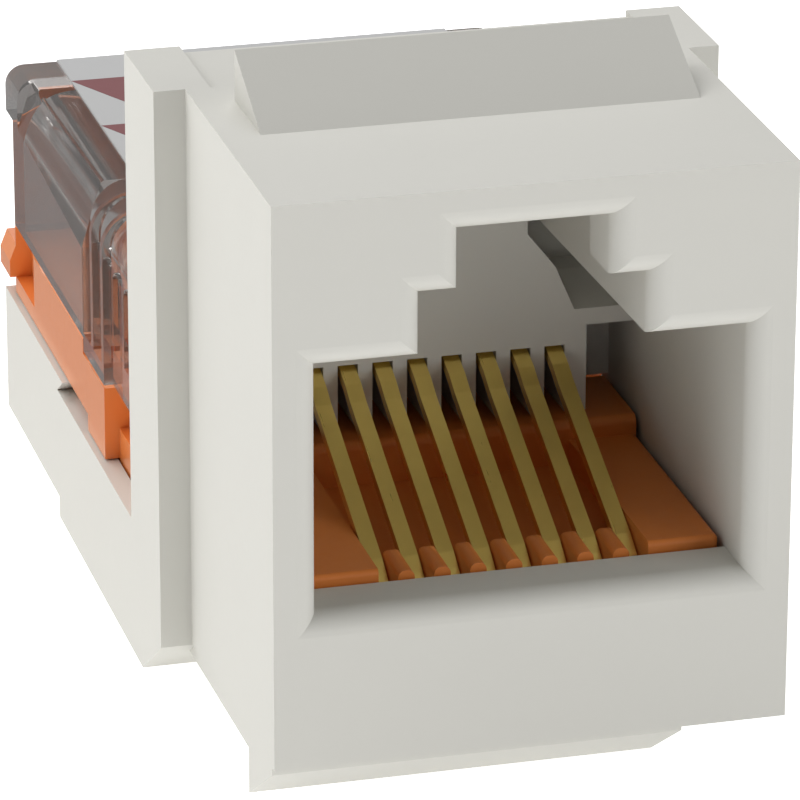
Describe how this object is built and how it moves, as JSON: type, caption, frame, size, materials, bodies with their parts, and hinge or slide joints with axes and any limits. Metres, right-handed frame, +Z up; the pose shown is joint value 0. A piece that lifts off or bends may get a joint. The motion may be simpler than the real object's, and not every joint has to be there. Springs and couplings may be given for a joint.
{
  "type": "keystone jack",
  "caption": "Snap-in keystone jack with a stepped plug mouth, spring contacts on an orange sled, an orange wiring base and a smoke coloured wire cap.",
  "frame": {"origin": "centre of the plug mouth in the jack's front plane", "axes": "+X to the right seen from the front, +Y into the jack towards the wiring end, +Z up towards the catch side"},
  "size_m": [0.0164, 0.0327, 0.0199],
  "materials": {
    "housing_white": "satin",
    "orange_plastic": "satin",
    "contact_gold": "polished",
    "fork_metal": "satin",
    "board_green": "satin",
    "smoke_plastic": "gloss",
    "label_film": "matte"
  },
  "bodies": {
    "jack": {"housing": "housing_white", "contact_sled": "orange_plastic", "wiring_base": "orange_plastic", "circuit_board": "board_green", "fork_left_1": "fork_metal", "fork_left_2": "fork_metal", "fork_left_3": "fork_metal", "fork_left_4": "fork_metal", "fork_right_1": "fork_metal", "fork_right_2": "fork_metal", "fork_right_3": "fork_metal", "fork_right_4": "fork_metal"},
    "cap": {"wire_cap": "smoke_plastic", "label": "label_film"},
    "spring_1": {"contact_1": "contact_gold"},
    "spring_2": {"contact_2": "contact_gold"},
    "spring_3": {"contact_3": "contact_gold"},
    "spring_4": {"contact_4": "contact_gold"},
    "spring_5": {"contact_5": "contact_gold"},
    "spring_6": {"contact_6": "contact_gold"},
    "spring_7": {"contact_7": "contact_gold"},
    "spring_8": {"contact_8": "contact_gold"}
  },
  "joints": [
    {"name": "cap_lift", "type": "slide", "parent": "jack", "child": "cap", "axis": [0, 0, 1], "range_m": [0, 0.012]},
    {"name": "contact_1_press", "type": "hinge", "parent": "jack", "child": "spring_1", "pos_m": [-0.00356, 0.0026, -0.00414], "axis": [-1, 0, 0], "range_deg": [0, 8], "stiffness_Nm_per_rad": 0.06},
    {"name": "contact_2_press", "type": "hinge", "parent": "jack", "child": "spring_2", "pos_m": [-0.00254, 0.0026, -0.00414], "axis": [-1, 0, 0], "range_deg": [0, 8], "stiffness_Nm_per_rad": 0.06},
    {"name": "contact_3_press", "type": "hinge", "parent": "jack", "child": "spring_3", "pos_m": [-0.00152, 0.0026, -0.00414], "axis": [-1, 0, 0], "range_deg": [0, 8], "stiffness_Nm_per_rad": 0.06},
    {"name": "contact_4_press", "type": "hinge", "parent": "jack", "child": "spring_4", "pos_m": [-0.00051, 0.0026, -0.00414], "axis": [-1, 0, 0], "range_deg": [0, 8], "stiffness_Nm_per_rad": 0.06},
    {"name": "contact_5_press", "type": "hinge", "parent": "jack", "child": "spring_5", "pos_m": [0.00051, 0.0026, -0.00414], "axis": [-1, 0, 0], "range_deg": [0, 8], "stiffness_Nm_per_rad": 0.06},
    {"name": "contact_6_press", "type": "hinge", "parent": "jack", "child": "spring_6", "pos_m": [0.00152, 0.0026, -0.00414], "axis": [-1, 0, 0], "range_deg": [0, 8], "stiffness_Nm_per_rad": 0.06},
    {"name": "contact_7_press", "type": "hinge", "parent": "jack", "child": "spring_7", "pos_m": [0.00254, 0.0026, -0.00414], "axis": [-1, 0, 0], "range_deg": [0, 8], "stiffness_Nm_per_rad": 0.06},
    {"name": "contact_8_press", "type": "hinge", "parent": "jack", "child": "spring_8", "pos_m": [0.00356, 0.0026, -0.00414], "axis": [-1, 0, 0], "range_deg": [0, 8], "stiffness_Nm_per_rad": 0.06}
  ]
}
